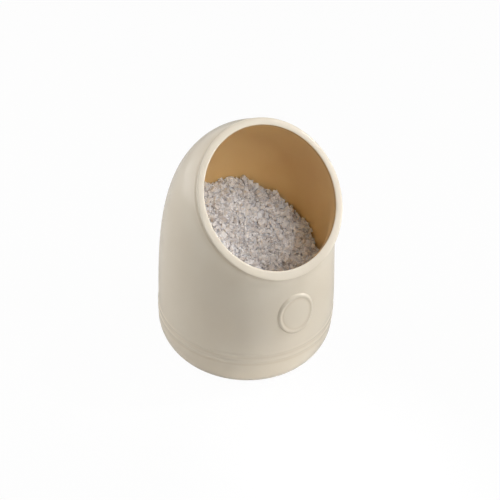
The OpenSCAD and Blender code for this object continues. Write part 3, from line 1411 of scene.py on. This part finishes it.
@dataclass(frozen=True)
class Snoot(StudioLamp):
    """Narrow lamp whose beam covers only a disc of the given radius at the aim.

    The aim is given in millimetres.
    """

    aim: tuple[float, float, float] = (0, -18, 107)
    beam_r: float = 50 * MM
    blend: float = 0.35
    bulb_r: float = 30 * MM

    def build(self) -> None:
        """Hangs the snoot so that it faces its own aim."""
        lamp = bpy.data.lights.new(self.name, "SPOT")
        lamp.spot_size = 2 * math.atan(self.beam_r / self.distance)
        lamp.spot_blend = self.blend
        lamp.shadow_soft_size = self.bulb_r
        self.hang(lamp, Vector(self.aim) * MM)


@dataclass
class Studio:
    """White surroundings, pale floor and soft lamps."""

    boxes: tuple[SoftBox, ...] = (
        SoftBox("key_box", 56, 35, 1.75),
        SoftBox("key_low_box", 62, 5, 3.4),
        SoftBox("side_box", 16, 15, 0.7),
        SoftBox("top_box", 0, 70, 1.4),
        SoftBox("rim_box", -144, 20, 2.3, side=0.9),
        SoftBox("rim_low_box", -124, 5, 1.3, side=0.9),
        SoftBox("wash_box", -120, 9, 2.0, side=0.9, matte=True),
        SoftBox("wash_high_box", -124, 40, 1.55, side=0.9, matte=True),
    )
    snoots: tuple[Snoot, ...] = (
        Snoot("mouth_snoot", 0, 42, 13.5, blend=1.0),
        Snoot("inside_snoot", 75, 55, 21.5, matte=True, beam_r=43 * MM, bulb_r=60 * MM),
        Snoot(
            "sheen_snoot", 60, 35, 6.0,
            aim=(-30, 16, 102), beam_r=34 * MM, blend=1.0, bulb_r=60 * MM,
        ),
        Snoot("table_snoot", -10, 65, 33.0, aim=(-20, -128, 0), beam_r=72 * MM, blend=0.5),
    )
    aim_height: float = 65 * MM
    white: Colour = (1.0, 1.0, 1.0, 1.0)
    floor_size: float = 3.0
    floor_tone: Colour = tone(242, 240, 237)
    floor_white: float = 0.97
    floor_gloss: float = 0.15

    @staticmethod
    def seen(board: NodeBoard, straight: float, mirrored: float) -> Socket:
        """Share of plain white for each kind of ray, and nought for the rays that light things.

        Args:
            board: Nodes that this is added to.
            straight: Share for rays from the camera and through glass.
            mirrored: Share for rays in gloss.

        Returns:
            The highest share that the ray has, as a socket.
        """
        rays = board.add("ShaderNodeLightPath").outputs
        found = board.reckon("MULTIPLY", rays["Is Camera Ray"], straight)
        for name, share in (("Is Transmission Ray", straight), ("Is Glossy Ray", mirrored)):
            found = board.reckon("MAXIMUM", found, board.reckon("MULTIPLY", rays[name], share))
        return found

    def build_world(self) -> None:
        """Shows white behind the jar to the camera and in gloss, and lights nothing."""
        world = bpy.data.worlds.new("white_room")
        board = NodeBoard(world)
        white = self.seen(board, 1.0, 1.0)
        air = board.add("ShaderNodeBackground", Color=self.white, Strength=white)
        board.add("ShaderNodeOutputWorld", Surface=air.outputs["Background"])
        bpy.context.scene.world = world

    def build_floor(self) -> None:
        """Lays a pale floor that shows nearly white to the camera and keeps the jar's shadow."""
        corners = np.array([[-1, -1, 0], [1, -1, 0], [1, 1, 0], [-1, 1, 0]])
        points = corners * self.floor_size / 2
        floor = add_piece("pale_floor", points, [[0, 1, 2, 3]], Shading.FACETED)
        material = bpy.data.materials.new("pale_floor")
        board = NodeBoard(material)
        matt = board.add("ShaderNodeBsdfDiffuse", Color=self.floor_tone)
        glow = board.add("ShaderNodeEmission", Color=self.white, Strength=1.0)
        white = self.seen(board, self.floor_white, self.floor_gloss)
        mix = board.add("ShaderNodeMixShader", Fac=white)
        board.feed(mix.inputs[1], matt.outputs["BSDF"])
        board.feed(mix.inputs[2], glow.outputs["Emission"])
        board.add("ShaderNodeOutputMaterial", Surface=mix.outputs["Shader"])
        floor.data.materials.append(material)

    def build(self) -> None:
        """Sets up the room round the jar, with the soft boxes facing the jar's middle."""
        self.build_world()
        self.build_floor()
        for box in self.boxes:
            box.build(Vector((0.0, 0.0, self.aim_height)))
        for snoot in self.snoots:
            snoot.build()
        bpy.context.scene.view_settings.view_transform = "Standard"


@dataclass(frozen=True)
class PhotoCamera:
    """Camera at the photograph's viewing angle."""

    azimuth: float = math.radians(-36.047)
    elevation: float = math.radians(36.9)
    roll: float = math.radians(3.263)
    distance: float = 580 * MM
    aim_height: float = 60.212 * MM
    aim_right: float = 0.86 * MM
    focal_px: float = 1024.867
    frame_px: float = 500.0
    sensor: float = 36.0
    clip_start: float = 0.01
    clip_end: float = 20.0

    def build(self) -> None:
        """Places the camera on a sphere round its aim, rolled about its own axis."""
        back = heading(self.azimuth, self.elevation)
        level = Vector((math.cos(self.azimuth), math.sin(self.azimuth), 0.0))
        right = level * math.cos(self.roll) + back.cross(level) * math.sin(self.roll)
        up = back.cross(right)
        place = Vector((0.0, 0.0, self.aim_height)) + right * self.aim_right + back * self.distance
        data = bpy.data.cameras.new("photo_camera")
        data.sensor_width = self.sensor
        data.lens = self.focal_px / self.frame_px * self.sensor
        data.clip_start, data.clip_end = self.clip_start, self.clip_end
        camera = bpy.data.objects.new("photo_camera", data)
        columns = Matrix((right, up, back)).transposed().to_4x4()
        camera.matrix_world = Matrix.Translation(place) @ columns
        bpy.context.scene.collection.objects.link(camera)
        bpy.context.scene.camera = camera


def main() -> None:
    """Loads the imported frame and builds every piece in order."""
    logging.basicConfig(level=logging.INFO, format="%(name)s %(message)s")
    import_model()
    PhotoCamera().build()
    form = JarForm()
    cream, ochre = CreamGlaze().build(), OchreGlaze().build()
    clay, salt = BareStoneware().build(), CoarseSalt().build()
    GlazedJar(form, cream).build()
    FrontMedallion(form, cream).build()
    BareFoot(form, clay).build()
    InnerLining(form, ochre).build()
    SaltHeap(form, salt).build()
    Studio().build()


if __name__ == "__main__":
    main()
